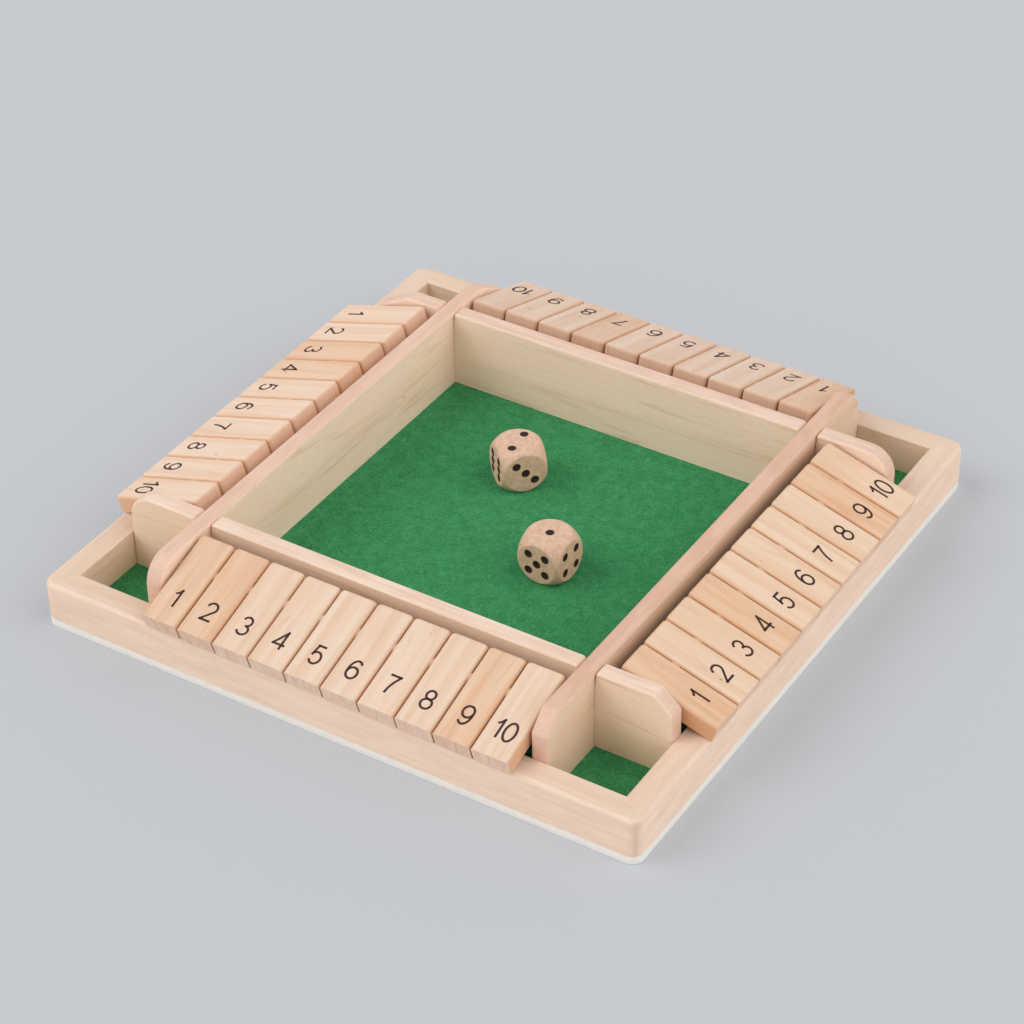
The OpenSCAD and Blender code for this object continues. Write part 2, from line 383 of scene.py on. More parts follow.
@dataclass(frozen=True)
class FeltFinish:
    """Pressed green felt."""

    name: str
    low: Colour
    high: Colour
    strand: Colour

    def make(self, effects: ShaderEffects) -> bpy.types.Material:
        """Returns the finish as a material."""
        material, graph, shader = start_material(self.name)
        spot = graph.add("ShaderNodeTexCoord").outputs["Object"]
        place = graph.vector("MULTIPLY", spot, (1 / MM, 1 / MM, 1 / MM))
        cloth = graph.add("ShaderNodeGroup", node_tree=effects.mottle)
        for label, value in (("Place", place), ("Blotch", 4.5), ("Speck", 0.75)):
            graph.put(cloth.inputs[label], value)
        share = graph.maths("MULTIPLY_ADD", cloth.outputs["Specks"], 0.5,
                            graph.maths("MULTIPLY", cloth.outputs["Blotches"], 0.25))
        colour = graph.mix(share, self.low, self.high)
        bent = graph.vector("ADD", place, graph.vector("MULTIPLY", cloth.outputs["Blotches"], (0.0, 2.5, 0.0)))
        strands = graph.noise(graph.vector("MULTIPLY", bent, (0.3, 3.0, 1.0)), 1.0, 4.0, 0.65)
        # The lighter strands are partly the fibres' own colour and partly a painted glint.
        colour = graph.mix(graph.ramp(strands, 0.52, 0.74, 0.0, 0.45), colour, self.strand)
        graph.put(shader.inputs["Base Color"], colour)
        shader.inputs["Roughness"].default_value = 0.95
        shader.inputs["Specular IOR Level"].default_value = 0.1
        shader.inputs["Sheen Weight"].default_value = 0.08
        shader.inputs["Sheen Roughness"].default_value = 0.6
        bump = graph.add("ShaderNodeBump", {"Strength": 0.9, "Distance": 0.25 * MM,
                                            "Height": graph.maths("ADD", strands, cloth.outputs["Specks"])})
        graph.put(shader.inputs["Normal"], bump.outputs["Normal"])
        return material


@dataclass(frozen=True)
class InkFinish:
    """Thin dark ink on wood, a little worn through by the grain."""

    name: str
    dark: Colour
    worn: Colour

    def make(self, effects: ShaderEffects) -> bpy.types.Material:
        """Returns the finish as a material."""
        material, graph, shader = start_material(self.name)
        spot = graph.add("ShaderNodeTexCoord").outputs["Object"]
        place = graph.vector("MULTIPLY", spot, (1 / MM, 1 / MM, 1 / MM))
        print_of = graph.add("ShaderNodeGroup", node_tree=effects.mottle)
        for label, value in (("Place", place), ("Blotch", 1.6), ("Speck", 0.25)):
            graph.put(print_of.inputs[label], value)
        worn = graph.maths("MULTIPLY", print_of.outputs["Specks"], print_of.outputs["Blotches"])
        graph.put(shader.inputs["Base Color"], graph.mix(worn, self.dark, self.worn))
        graph.put(shader.inputs["Roughness"], graph.ramp(worn, 0.0, 1.0, 0.5, 0.65, "LINEAR"))
        shader.inputs["Specular IOR Level"].default_value = 0.3
        return material


@dataclass(frozen=True)
class PanelFinish:
    """Pale plywood with faint plies at its edge and a whitish skin."""

    name: str
    skin: Colour
    ply: Colour

    def make(self, effects: ShaderEffects) -> bpy.types.Material:
        """Returns the finish as a material."""
        material, graph, shader = start_material(self.name)
        place = graph.add("ShaderNodeAttribute", attribute_name="board").outputs["Vector"]
        wood = graph.add("ShaderNodeGroup", node_tree=effects.figure)
        for label, value in (("Place", place), ("Ring Width", 9.0), ("Streak Width", 2.2), ("Fibre Width", 0.3)):
            graph.put(wood.inputs[label], value)
        height = graph.add("ShaderNodeSeparateXYZ", {0: place}).outputs["Z"]
        plies = graph.ramp(graph.maths("PINGPONG", height, 1.0), 0.2, 0.9)
        share = graph.maths("MULTIPLY_ADD", wood.outputs["Streaks"], 0.15, graph.maths("MULTIPLY", plies, 0.2))
        graph.put(shader.inputs["Base Color"], graph.mix(share, self.skin, self.ply))
        shader.inputs["Roughness"].default_value = 0.6
        shader.inputs["Specular IOR Level"].default_value = 0.3
        bump = graph.add("ShaderNodeBump", {"Strength": 0.4, "Distance": 0.03 * MM, "Height": wood.outputs["Fibres"]})
        graph.put(shader.inputs["Normal"], bump.outputs["Normal"])
        return material


@dataclass(frozen=True)
class DieFinish:
    """Oiled hardwood with dark pips, which the piece's pip attribute places."""

    name: str
    pale: Colour
    dark: Colour
    pip: Colour
    pip_radius: float

    def make(self, effects: ShaderEffects) -> bpy.types.Material:
        """Returns the finish as a material."""
        material, graph, shader = start_material(self.name)
        place = graph.add("ShaderNodeAttribute", attribute_name="board").outputs["Vector"]
        wood = graph.add("ShaderNodeGroup", node_tree=effects.figure)
        for label, value in (("Place", place), ("Pith", (60.0, 0.0, 14.0)), ("Ring Width", 2.4),
                             ("Streak Width", 1.2), ("Fibre Width", 0.28)):
            graph.put(wood.inputs[label], value)
        grit = graph.add("ShaderNodeGroup", node_tree=effects.mottle)
        for label, value in (("Place", place), ("Blotch", 1.8), ("Speck", 0.28)):
            graph.put(grit.inputs[label], value)
        speckled = graph.maths("MULTIPLY", grit.outputs["Specks"], grit.outputs["Blotches"])
        share = graph.maths("MULTIPLY_ADD", wood.outputs["Fibres"], 0.35, graph.maths("MULTIPLY", speckled, 0.6))
        colour = graph.mix(share, self.pale, self.dark)
        away = graph.add("ShaderNodeAttribute", attribute_name="pip").outputs["Fac"]
        inside = graph.ramp(away, self.pip_radius - 0.06, self.pip_radius + 0.06, 1.0, 0.0)
        scorch = graph.ramp(away, self.pip_radius, self.pip_radius + 0.35, 0.35, 0.0)
        colour = graph.mix(scorch, colour, self.dark)
        graph.put(shader.inputs["Base Color"], graph.mix(inside, colour, self.pip))
        graph.put(shader.inputs["Roughness"], graph.ramp(inside, 0.0, 1.0, 0.5, 0.6, "LINEAR"))
        shader.inputs["Specular IOR Level"].default_value = 0.35
        bump = graph.add("ShaderNodeBump", {"Strength": 0.5, "Distance": 0.04 * MM, "Height": wood.outputs["Fibres"]})
        graph.put(shader.inputs["Normal"], bump.outputs["Normal"])
        return material


class Workshop:
    """Every material of the game, made once."""

    def __init__(self) -> None:
        """Makes the shared effects and each finish."""
        effects = ShaderEffects()
        # The tiles' outer ends are lighter than their end grain: painted bounce light from the floor.
        tile_pine = WoodFinish(
            "tile_pine", pale=rgb(240, 215, 194), streak=rgb(234, 200, 169), ring=rgb(218, 168, 128),
            # The flank colour creeps round the rounded long edges: partly the side grain's own colour, partly painted
            # shade in the gaps between tiles.
            flank=rgb(216, 170, 131), end_grain=rgb(222, 186, 160), outer_end=rgb(243, 213, 195), flank_from=0.25)
        warm_pine = WoodFinish(
            "warm_pine", pale=rgb(236, 204, 176), streak=rgb(230, 184, 147), ring=rgb(212, 155, 113),
            flank=rgb(212, 162, 121), end_grain=rgb(218, 180, 152), outer_end=rgb(238, 206, 184),
            flank_from=0.25, streak_share=0.75)
        # Each side's copy of the two tile finishes is multiplied by its own factor: painted light and shade for how the
        # light falls on that row of tiles.
        row_light_factors = ((0.97, 0.97, 0.97), (0.99, 0.96, 0.91), (0.93, 0.93, 0.95), (1.05, 1.05, 1.06))
        self.tiles = {(side, wood is warm_pine): replace(wood, name=f"{wood.name}_{SIDES[side]}", tint=tint).make(effects)
                      for side, tint in enumerate(row_light_factors) for wood in (tile_pine, warm_pine)}
        # The last column darkens each board's faces: painted shade, most on the right board.
        self.dividers = [WoodFinish(
            f"divider_pine_{name}", pale=rgb(255, 230, 209), streak=rgb(252, 220, 196), ring=rgb(218, 172, 138),
            flank=rgb(*edge), end_grain=rgb(228, 192, 172), flank_share=0.95, ring_share=0.08,
            fibre_share=0.2, streak_share=0.35,
            ring_width=11.0, streak_width=1.4, fibre_width=0.3, line_share=0.42, line_spacing=5.5,
            pith=(-20.0, 0.0, 55.0), bruise=rgb(208, 162, 140), bruise_share=bruised, face_tint=shade).make(effects)
            for name, edge, bruised, shade in zip(
                SIDES, ((243, 218, 199), (230, 188, 166), (236, 206, 188), (234, 198, 178)), (0.15, 0.45, 0.3, 0.25),
                ((0.96, 0.95, 0.9), (0.85, 0.81, 0.74), (1.0, 1.0, 1.0), (1.0, 0.98, 0.96)))]
        # The flank colour, on the rail's upright faces, is lighter than its top: painted light.
        self.rail = WoodFinish(
            "rail_pine", pale=rgb(238, 212, 191), streak=rgb(231, 201, 176), ring=rgb(212, 174, 142),
            flank=rgb(248, 222, 201), end_grain=rgb(226, 198, 180), flank_share=0.75, ring_share=0.16,
            flank_streaks=0.2, streak_share=0.5, ring_width=4.6, streak_width=1.3, fibre_width=0.3, pith=(70.0, 0.0, -30.0),
            bruise=rgb(226, 188, 162), bruise_share=0.3).make(effects)
        dowel = dict(pale=rgb(226, 190, 148), streak=rgb(208, 164, 118), ring=rgb(176, 128, 84),
                     flank=rgb(214, 170, 126), end_grain=rgb(200, 156, 112))
        self.dowels = {
            0: WoodFinish("dowel_birch_x", source=GrainSource.ROW_X, **dowel).make(effects),
            1: WoodFinish("dowel_birch_y", source=GrainSource.ROW_Y, **dowel).make(effects)}
        self.panel = PanelFinish("base_plywood", skin=rgb(240, 237, 232), ply=rgb(220, 208, 190)).make(effects)
        # The strand colours are partly the fibres' own colour and partly a painted glint.
        self.felt = FeltFinish("green_felt", low=rgb(36, 127, 73), high=rgb(72, 170, 108),
                               strand=rgb(112, 200, 144)).make(effects)
        self.nap = FeltFinish("felt_fibres", low=rgb(60, 150, 90), high=rgb(104, 186, 130),
                              strand=rgb(130, 206, 152)).make(effects)
        self.ink = InkFinish("number_ink", dark=rgb(58, 34, 30), worn=rgb(92, 60, 50)).make(effects)
        self.die = DieFinish("die_beech", pale=rgb(235, 198, 174), dark=rgb(192, 150, 118),
                             pip=rgb(44, 26, 22), pip_radius=1.48).make(effects)


class Piece:
    """A mesh drafted in millimetres in a board's own frame, with the grain along Y."""

    def __init__(self, name: str, shape: bmesh.types.BMesh) -> None:
        """Keeps a closed shape under a name."""
        self.name = name
        self.mesh = bpy.data.meshes.new(name)
        bmesh.ops.remove_doubles(shape, verts=shape.verts, dist=1e-4)
        bmesh.ops.recalc_face_normals(shape, faces=shape.faces)
        shape.to_mesh(self.mesh)
        shape.free()

    def refine(self, *modifiers: tuple[str, dict]) -> "Piece":
        """Applies modifiers to the mesh.

        Args:
            modifiers: Type name and settings of each modifier, in order.

        Returns:
            The same piece.
        """
        draft = bpy.data.objects.new(self.name + "_draft", self.mesh)
        bpy.context.scene.collection.objects.link(draft)
        for kind, settings in modifiers:
            modifier = draft.modifiers.new(kind.lower(), kind)
            for label, value in settings.items():
                setattr(modifier, label, value)
        graph = bpy.context.evaluated_depsgraph_get()
        finished = bpy.data.meshes.new_from_object(draft.evaluated_get(graph))
        bpy.data.objects.remove(draft)
        bpy.data.meshes.remove(self.mesh)
        self.mesh = finished
        self.mesh.name = self.name
        return self

    def smooth(self, angle: float = 40.0) -> "Piece":
        """Shades rounded edges smoothly and keeps flat faces flat."""
        self.mesh.shade_smooth()
        self.mesh.set_sharp_from_angle(angle=math.radians(angle))
        return self.refine(("WEIGHTED_NORMAL", {"keep_sharp": True, "weight": 90}))

    def mark_grain(self, start: Sequence[float] = (0.0, 0.0, 0.0)) -> "Piece":
        """Stores each point's place on its board and how each face cuts the grain.

        Args:
            start: Where on the tree this board was cut, in millimetres.

        Returns:
            The same piece.
        """
        count = len(self.mesh.vertices)
        places = np.empty(count * 3, np.float32)
        self.mesh.vertices.foreach_get("co", places)
        places = (places.reshape(-1, 3) + np.array(start, np.float32)).ravel()
        board = self.mesh.attributes.new("board", "FLOAT_VECTOR", "POINT")
        board.data.foreach_set("vector", places)
        cuts = np.array([(abs(face.normal.x), face.normal.y, abs(face.normal.z)) for face in self.mesh.polygons],
                        np.float32)
        cut = self.mesh.attributes.new("cut", "FLOAT_VECTOR", "FACE")
        cut.data.foreach_set("vector", cuts.ravel())
        return self

    def copy(self, name: str) -> "Piece":
        """Returns a second piece of the same shape."""
        twin = object.__new__(Piece)
        twin.name = name
        twin.mesh = self.mesh.copy()
        twin.mesh.name = name
        return twin

    def place(self, to_row: Matrix, materials: Sequence[bpy.types.Material]) -> bpy.types.Object:
        """Moves the mesh into the row's frame, in metres.

        Args:
            to_row: From the board's frame to the row's frame, both in millimetres.
            materials: The materials of the mesh's slots.

        Returns:
            The finished object, which sits at the origin.
        """
        self.mesh.transform(Matrix.Scale(MM, 4) @ to_row)
        for i, material in enumerate(materials):
            if i < len(self.mesh.materials):
                self.mesh.materials[i] = material
            else:
                self.mesh.materials.append(material)
        piece = bpy.data.objects.new(self.name, self.mesh)
        bpy.context.scene.collection.objects.link(piece)
        return piece


def settle(piece: bpy.types.Object, body: str, slot: str, *nodes: str) -> bpy.types.Object:
    """Rides a finished piece on its body and hides the nodes that it stands for."""
    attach(piece, body)
    if nodes:
        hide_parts(*nodes)
    LOG.info("%s rides on %s, %d faces", piece.name, body, len(piece.data.polygons))
    return piece


def prism(outline: Sequence[Point2], low: float, high: float) -> bmesh.types.BMesh:
    """Returns a solid with a given outline in X and Y, from one height to another."""
    shape = bmesh.new()
    floor = [shape.verts.new((x, y, low)) for x, y in outline]
    roof = [shape.verts.new((x, y, high)) for x, y in outline]
    shape.faces.new(floor[::-1])
    shape.faces.new(roof)
    for i, start in enumerate(floor):
        j = (i + 1) % len(floor)
        shape.faces.new((start, floor[j], roof[j], roof[i]))
    bmesh.ops.recalc_face_normals(shape, faces=shape.faces)
    return shape


def ease(shape: bmesh.types.BMesh, radius: float, segments: int,
         chosen: Callable[[bmesh.types.BMEdge], bool]) -> None:
    """Rounds the chosen edges of a solid."""
    edges = [edge for edge in shape.edges if chosen(edge)]
    bmesh.ops.bevel(shape, geom=edges, offset=radius, offset_type="OFFSET", segments=segments,
                    profile=0.5, affect="EDGES", clamp_overlap=True)


def corner_arc(before: Point2, corner: Point2, after: Point2, radius: float, steps: int = 8) -> list[Point2]:
    """Returns points that round a corner with an arc that touches both of its edges."""
    here = Vector(corner)
    one, two = (Vector(before) - here).normalized(), (Vector(after) - here).normalized()
    half = math.acos(max(-1.0, min(1.0, one.dot(two)))) / 2
    centre = here + (one + two).normalized() * radius / math.sin(half)
    start, finish = here + one * radius / math.tan(half), here + two * radius / math.tan(half)
    first = math.atan2(start.y - centre.y, start.x - centre.x)
    sweep = math.atan2(finish.y - centre.y, finish.x - centre.x) - first
    sweep = (sweep + math.pi) % math.tau - math.pi
    turns = [first + sweep * i / steps for i in range(steps + 1)]
    return [(centre.x + radius * math.cos(a), centre.y + radius * math.sin(a)) for a in turns]


def arc(centre: Point2, radii: Point2, start: float, end: float, steps: int = 20) -> list[Point2]:
    """Returns points along part of an ellipse, with its angles in degrees."""
    angles = [math.radians(start + (end - start) * i / steps) for i in range(steps + 1)]
    return [(centre[0] + radii[0] * math.cos(a), centre[1] + radii[1] * math.sin(a)) for a in angles]


@dataclass
class Layout:
    """The sizes and places that the frame gives, in millimetres."""

    frame: dict
    half_w: float = field(init=False)
    panel_top: float = field(init=False)
    felt_top: float = field(init=False)
    rail_top: float = field(init=False)
    rail_inner: float = field(init=False)
    divider_out: float = field(init=False)
    divider_in: float = field(init=False)
    divider_top: float = field(init=False)
    tile_width: float = field(init=False)
    tile_pitch: float = field(init=False)
    rod_y: float = field(init=False)
    rod_z: float = field(init=False)

    def __post_init__(self) -> None:
        """Reads the frame's boxes and hinges."""
        low, high = self.box("base_panel")
        self.half_w, self.panel_top = high.x, high.z
        low, high = self.box("felt")
        self.rail_inner, self.felt_top = high.x, high.z
        self.rail_top = self.box("rail_front")[1].z
        low, high = self.box("divider_front")
        self.divider_out, self.divider_in, self.divider_top = -low.y, -high.y, high.z
        low, high = self.box("tile_front_1")
        self.tile_width = high.x - low.x
        hinge = {joint["name"]: Vector(joint["pos_m"]) / MM for joint in self.frame["joints"] if "pos_m" in joint}
        self.tile_pitch = hinge["flip_front_2"].x - hinge["flip_front_1"].x
        self.rod_y, self.rod_z = -hinge["flip_front_1"].y, hinge["flip_front_1"].z

    @staticmethod
    def box(node: str) -> tuple[Vector, Vector]:
        """Returns a node's lowest and highest corners in millimetres."""
        low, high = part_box(node)
        return low / MM, high / MM

    @property
    def tiles(self) -> int:
        """Returns how many tiles each side has."""
        return sum(1 for name in self.frame["nodes"] if name.startswith("tile_front_"))


def side_turn(side: int) -> Matrix:
    """Returns the turn about Z from the front side to another."""
    return Matrix.Rotation(math.pi / 2 * side, 4, "Z")


def axes(x: Sequence[float], y: Sequence[float], z: Sequence[float], at: Sequence[float] = (0, 0, 0)) -> Matrix:
    """Returns the frame whose axes and origin are given in another frame."""
    return Matrix.Translation(Vector(at)) @ Matrix((x, y, z)).transposed().to_4x4()


@dataclass
class BaseAndFelt:
    """The plywood panel and the felt that is glued on it."""

    layout: Layout
    workshop: Workshop
    corner_radius: float = 4.0
    edge_ease: float = 0.35
    fibre_count: int = 9000
    fibre_length: float = 1.5
    fibre_thickness: float = 0.07

    def build(self) -> None:
        """Builds the panel, the felt and the felt's loose surface fibres."""
        self._panel()
        felt = self._felt()
        nap = self._nap(felt)

    def _panel(self) -> None:
        """Builds the rounded plywood square, a hair above the table."""
        half = self.layout.half_w
        corners = [(half, -half), (half, half), (-half, half), (-half, -half)]
        outline: list[Point2] = []
        for i, corner in enumerate(corners):
            outline += corner_arc(corners[i - 1], corner, corners[(i + 1) % 4], self.corner_radius)
        shape = prism(outline, 0.0, self.layout.panel_top)
        ease(shape, self.edge_ease, 3, lambda edge: abs(edge.verts[0].co.z - edge.verts[1].co.z) < 1e-6)
        piece = Piece("plywood_base", shape).smooth().mark_grain()
        settle(piece.place(Matrix.Identity(4), [self.workshop.panel]), "board", "panel", "base_panel")

    def _felt(self) -> bpy.types.Object:
        """Builds the felt sheet with a slightly softened rim."""
        half = self.layout.rail_inner
        outline = [(-half, -half), (half, -half), (half, half), (-half, half)]
        shape = prism(outline, self.layout.panel_top, self.layout.felt_top)
        ease(shape, 0.2, 2, lambda edge: all(v.co.z > self.layout.felt_top - 1e-6 for v in edge.verts))
        piece = Piece("felt_sheet", shape).smooth().mark_grain()
        return settle(piece.place(Matrix.Identity(4), [self.workshop.felt]), "board", "felt", "felt")

    def _nap_tree(self) -> bpy.types.NodeTree:
        """Builds the tree that lays short bent fibres on a surface, with its sizes as named inputs."""
        tree = bpy.data.node_groups.new("felt_nap", "GeometryNodeTree")
        for label, kind, value in (("Geometry", "NodeSocketGeometry", None), ("Density", "NodeSocketFloat", 1.0),
                                   ("Length", "NodeSocketFloat", 1.0), ("Thickness", "NodeSocketFloat", 0.1),
                                   ("Seed", "NodeSocketInt", SEED), ("Material", "NodeSocketMaterial", None)):
            socket = tree.interface.new_socket(label, in_out="INPUT", socket_type=kind)
            if value is not None:
                socket.default_value = value
        tree.interface.new_socket("Geometry", in_out="OUTPUT", socket_type="NodeSocketGeometry")
        graph = Graph(tree)
        given, result = graph.add("NodeGroupInput").outputs, graph.add("NodeGroupOutput")
        spots = graph.add("GeometryNodeDistributePointsOnFaces",
                          {"Mesh": given["Geometry"], "Density": given["Density"], "Seed": given["Seed"]})
        half = graph.maths("MULTIPLY", given["Length"], 0.5)
        rise = graph.maths("MULTIPLY", given["Length"], 0.16)
        start = graph.add("ShaderNodeCombineXYZ", {0: graph.maths("MULTIPLY", half, -1.0)})
        middle = graph.add("ShaderNodeCombineXYZ", {1: rise, 2: graph.maths("MULTIPLY", given["Thickness"], 0.9)})
        end = graph.add("ShaderNodeCombineXYZ", {0: half})
        fibre = graph.add("GeometryNodeCurveQuadraticBezier",
                          {"Resolution": 2, "Start": start.outputs[0], "Middle": middle.outputs[0],
                           "End": end.outputs[0]})
        section = graph.add("GeometryNodeCurvePrimitiveCircle",
                            {"Resolution": 3, "Radius": graph.maths("MULTIPLY", given["Thickness"], 0.5)})
        strand = graph.add("GeometryNodeCurveToMesh", {"Curve": fibre.outputs[0], "Profile Curve": section.outputs[0],
                                                       "Fill Caps": True})
        turn = graph.add("FunctionNodeRandomValue", {0: (0.0, 0.0, 0.0), 1: (0.0, 0.0, math.pi), "Seed": given["Seed"]},
                         data_type="FLOAT_VECTOR")
        size = graph.add("FunctionNodeRandomValue", {2: 0.5, 3: 1.25, "Seed": given["Seed"]}, data_type="FLOAT")
        laid = graph.add("GeometryNodeInstanceOnPoints",
                         {"Points": spots.outputs["Points"], "Instance": strand.outputs[0],
                          "Rotation": turn.outputs[0], "Scale": size.outputs[1]})
        real = graph.add("GeometryNodeRealizeInstances", {0: laid.outputs[0]})
        dressed = graph.add("GeometryNodeSetMaterial", {"Geometry": real.outputs[0], "Material": given["Material"]})
        graph.put(result.inputs[0], dressed.outputs[0])
        return tree

    def _nap(self, felt: bpy.types.Object) -> bpy.types.Object:
        """Lays loose fibres on the felt where no divider or rail covers it."""
        lay = self.layout
        bed = bmesh.new()
        inset = 1.2
        pocket = (lay.divider_out + inset, lay.rail_inner - inset)
        spans = [(-lay.divider_in + inset, lay.divider_in - inset)] * 2
        areas = [spans] + [[tuple(sorted((sx * pocket[0], sx * pocket[1]))), tuple(sorted((sy * pocket[0], sy * pocket[1])))]
                           for sx in (-1, 1) for sy in (-1, 1)]
        for (x0, x1), (y0, y1) in areas:
            bed.faces.new([bed.verts.new((x * MM, y * MM, (lay.felt_top - 0.01) * MM))
                           for x, y in ((x0, y0), (x1, y0), (x1, y1), (x0, y1))])
        mesh = bpy.data.meshes.new("felt_nap_bed")
        bed.to_mesh(mesh)
        bed.free()
        area = sum(face.area for face in mesh.polygons)
        return grow("felt_nap", mesh, self._nap_tree(), "board", "felt",
                    {"Density": self.fibre_count / area, "Length": self.fibre_length * MM,
                     "Thickness": self.fibre_thickness * MM, "Seed": SEED, "Material": self.workshop.nap})


def grow(name: str, data: bpy.types.ID, tree: bpy.types.NodeTree, body: str | None, slot: str | None,
         values: dict[str, object]) -> bpy.types.Object:
    """Runs a geometry node tree on a mesh or curve and keeps the result as a plain mesh.

    Args:
        name: The name of the finished piece.
        data: The mesh or curve that the tree starts from.
        tree: The node tree.
        body: The body that the piece rides on, or None for a piece that is joined to another.
        slot: The record's material slot, which is passed on but not used.
        values: Each named input's value.

    Returns:
        The finished piece.
    """
    seedling = bpy.data.objects.new(name + "_draft", data)
    bpy.context.scene.collection.objects.link(seedling)
    modifier = seedling.modifiers.new("nodes", "NODES")
    modifier.node_group = tree
    names = {item.name: item.identifier for item in tree.interface.items_tree if item.in_out == "INPUT"}
    for label, value in values.items():
        modifier[names[label]] = value
    graph = bpy.context.evaluated_depsgraph_get()
    mesh = bpy.data.meshes.new_from_object(seedling.evaluated_get(graph))
    bpy.data.objects.remove(seedling)
    mesh.name = name
    piece = bpy.data.objects.new(name, mesh)
    bpy.context.scene.collection.objects.link(piece)
    return settle(piece, body, slot) if body else piece


@dataclass
class Rails:
    """The four mitred strips round the panel."""

    layout: Layout
    workshop: Workshop
    corner_radius: float = 4.0
    top_radius: float = 1.5
    inner_ease: float = 0.35
    foot_ease: float = 0.3
    mitre_gap: float = 0.01
    corner_steps: int = 5
    stations: int = 24

    def build(self) -> None:
        """Builds one rail for each side."""
        for side, name in enumerate(SIDES):
            piece = Piece(f"rail_strip_{name}", self._shape()).smooth()
            piece.mark_grain((0.0, 310.0 * side, 0.0))
            to_row = side_turn(side) @ axes((0, -1, 0), (1, 0, 0), (0, 0, 1))
            settle(piece.place(to_row, [self.workshop.rail]), "board", "rail", f"rail_{name}")

    def _section(self) -> list[tuple[float, float]]:
        """Returns the section as distances in from the outer face and heights."""
        low, top = self.layout.panel_top, self.layout.rail_top
        width = self.layout.half_w - self.layout.rail_inner
        outer, inner, foot = self.top_radius, self.inner_ease, self.foot_ease
        points = [(d, z) for d, z in arc((foot, low + foot), (foot, foot), 270, 180, 3)]
        points += arc((outer, top - outer), (outer, outer), 180, 90, 6)
        points += arc((width - inner, top - inner), (inner, inner), 90, 0, 3)
        points += [(width, low)]
        return points

    def _rims(self) -> list[tuple[Point2, Point2]]:
        """Returns matching outer and inner points along the rail, from one mitre to the other."""
        inner, radius = self.layout.rail_inner, self.corner_radius
        straight = self.layout.half_w - radius
        turns = [math.radians(45 * i / self.corner_steps) for i in range(self.corner_steps, 0, -1)]
        bend = [(straight + radius * math.cos(a), straight + radius * math.sin(a)) for a in turns]
        first = [((x, -y), (inner, -inner)) for x, y in bend]
        run = [((self.layout.half_w, float(t) * straight), (inner, float(t) * inner))
               for t in np.linspace(-1.0, 1.0, self.stations)]
        last = [((x, y), (inner, inner)) for x, y in reversed(bend)]
        return first + run + last

    def _shape(self) -> bmesh.types.BMesh:
        """Returns the swept and mitred solid, with the outer face towards +X."""
        section, rims = self._section(), self._rims()
        width = self.layout.half_w - self.layout.rail_inner
        shape = bmesh.new()
        rows = []
        last = len(rims) - 1
        for i, (outer, inner) in enumerate(rims):
            out, into = Vector(outer), Vector(inner)
            shift = self.mitre_gap if i == 0 else -self.mitre_gap if i == last else 0.0
            row = []
            for depth, height in section:
                spot = out.lerp(into, depth / width) + Vector((0.0, shift))
                row.append(shape.verts.new((spot.x, spot.y, height)))
            rows.append(row)
        for one, two in zip(rows, rows[1:]):
            for k in range(len(section)):
                m = (k + 1) % len(section)
                shape.faces.new((one[k], one[m], two[m], two[k]))
        shape.faces.new(rows[0][::-1])
        shape.faces.new(rows[-1])
        return shape


